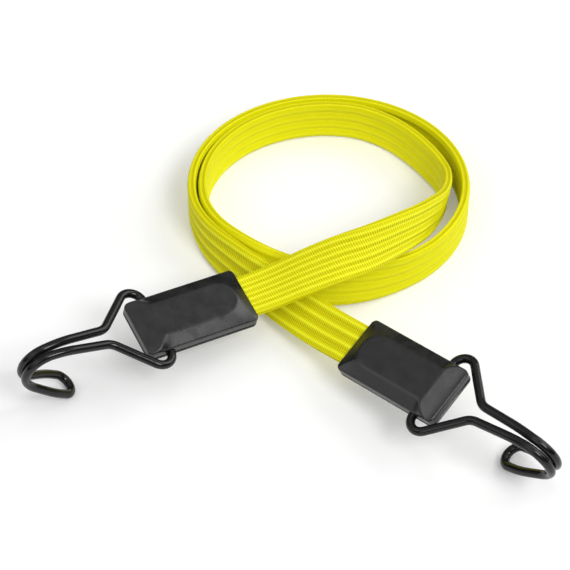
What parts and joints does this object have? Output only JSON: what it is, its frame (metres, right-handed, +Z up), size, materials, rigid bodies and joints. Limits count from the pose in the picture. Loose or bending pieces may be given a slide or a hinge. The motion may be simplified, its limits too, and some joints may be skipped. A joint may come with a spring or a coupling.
{
  "type": "bungee cord",
  "caption": "Flat elastic bungee strap in a loose coil, with a ribbed yellow woven sleeve, a dark moulded block at each end and a swinging hairpin wire hook in each block.",
  "frame": {"origin": "on the table, under the middle of the box round the two end blocks and their hooks", "axes": "+X to the right as pictured, from the left hook to the right hook; +Y away from the viewer, towards the coil; +Z up"},
  "size_m": [0.1954, 0.2028, 0.0373],
  "materials": {
    "woven_sleeve": "matte ribbed weave, bright yellow",
    "rubber_strip": "matte natural rubber",
    "block_plastic": "fine moulded grain, charcoal",
    "clamp_steel": "plain folded sheet",
    "coated_wire": "smooth black coating, satin"
  },
  "bodies": {
    "cord": {"strap_cover": "woven_sleeve", "rubber_strip_1": "rubber_strip", "rubber_strip_2": "rubber_strip", "rubber_strip_3": "rubber_strip", "rubber_strip_4": "rubber_strip", "left_upper_shell": "block_plastic", "left_lower_shell": "block_plastic", "left_strap_clamp": "clamp_steel", "right_upper_shell": "block_plastic", "right_lower_shell": "block_plastic", "right_strap_clamp": "clamp_steel"},
    "left_hook": {"left_hook": "coated_wire"},
    "right_hook": {"right_hook": "coated_wire"}
  },
  "joints": [
    {"name": "left_hook_pivot", "type": "hinge", "parent": "cord", "child": "left_hook", "pos_m": [-0.048, 0.0205, 0.0204], "axis": [0.4587, -0.8621, -0.2153], "range_deg": [-133, 126]},
    {"name": "right_hook_pivot", "type": "hinge", "parent": "cord", "child": "right_hook", "pos_m": [0.0539, -0.01, 0.0199], "axis": [0.6163, 0.714, 0.3323], "range_deg": [-138, 121]}
  ]
}
